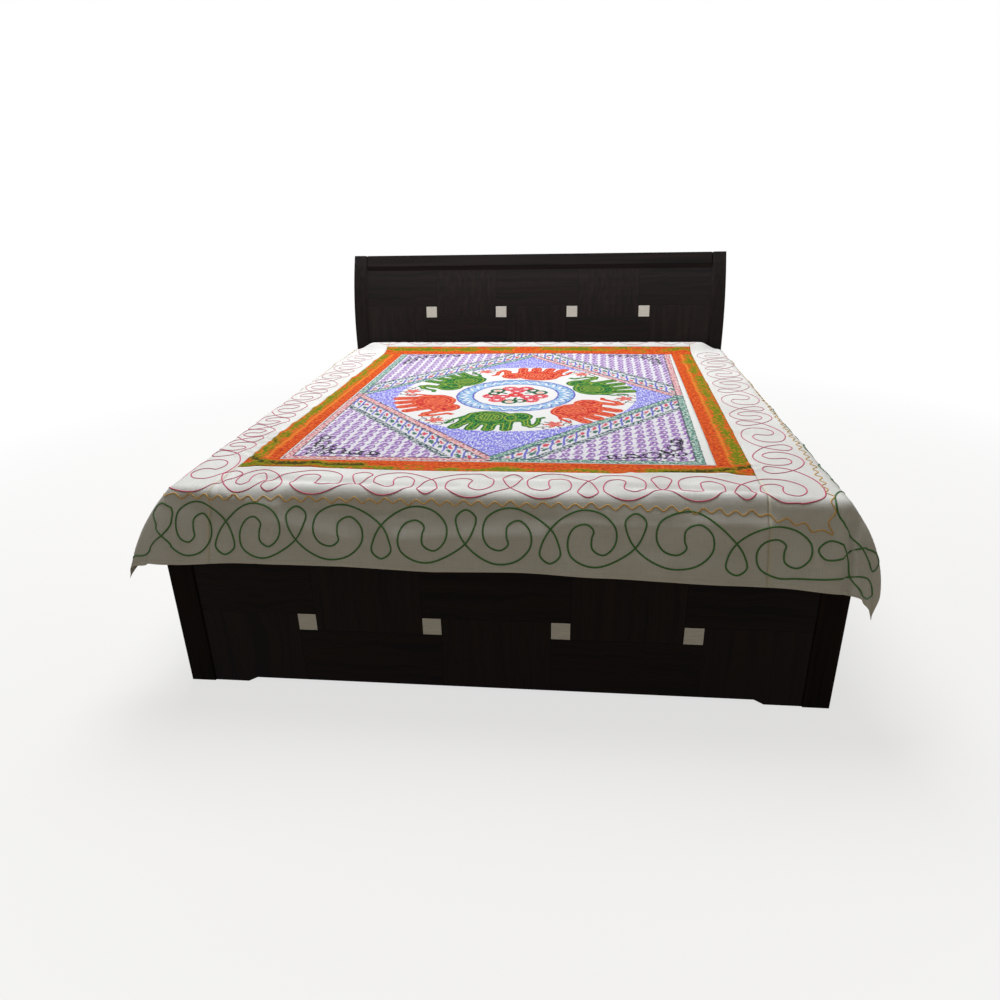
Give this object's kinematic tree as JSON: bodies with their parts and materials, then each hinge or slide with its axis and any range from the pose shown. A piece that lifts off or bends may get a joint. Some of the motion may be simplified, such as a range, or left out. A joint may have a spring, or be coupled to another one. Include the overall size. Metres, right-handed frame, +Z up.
{
  "type": "embroidered bed sheet on a king-size bed",
  "caption": "White cotton bed sheet with a printed square, orange border strips and scroll embroidery, lying over a mattress on a dark platform bed with a curved headboard",
  "frame": {"origin": "on the floor under the middle of the whole object's bounding box", "axes": "+Z up from the floor, +Y from the foot of the bed towards the headboard, +X to the right seen from the foot"},
  "size_m": [2.0466, 2.16, 1.033],
  "materials": {
    "printed_cotton": "printed plain weave",
    "orange_cotton": "tie-dyed plain weave",
    "white_cotton": "plain weave",
    "mattress_cover": "knitted cover over foam",
    "dark_wood": "dark stained veneer, satin lacquer",
    "plain_board": "bare board",
    "brushed_inlay": "brushed"
  },
  "bodies": {
    "root": {"printed_panel": "printed_cotton", "border_strip_foot": "orange_cotton", "border_strip_head": "orange_cotton", "border_strip_left": "orange_cotton", "border_strip_right": "orange_cotton", "sheet_foot_width": "white_cotton", "sheet_head_width": "white_cotton", "sheet_left_width": "white_cotton", "sheet_right_width": "white_cotton", "mattress": "mattress_cover", "cleat_left": "plain_board", "cleat_right": "plain_board", "deck_board_1": "plain_board", "deck_board_2": "plain_board", "deck_board_3": "plain_board", "deck_divider": "plain_board", "footboard_inlay_1": "brushed_inlay", "footboard_inlay_2": "brushed_inlay", "footboard_inlay_3": "brushed_inlay", "footboard_inlay_4": "brushed_inlay", "footboard_panel": "dark_wood", "footboard_pilaster_left": "dark_wood", "footboard_pilaster_right": "dark_wood", "headboard_inlay_1": "brushed_inlay", "headboard_inlay_2": "brushed_inlay", "headboard_inlay_3": "brushed_inlay", "headboard_inlay_4": "brushed_inlay", "headboard_panel": "dark_wood", "headboard_rail": "dark_wood", "headboard_stile_left": "dark_wood", "headboard_stile_right": "dark_wood", "side_board_left": "dark_wood", "side_board_right": "dark_wood"}
  },
  "joints": []
}
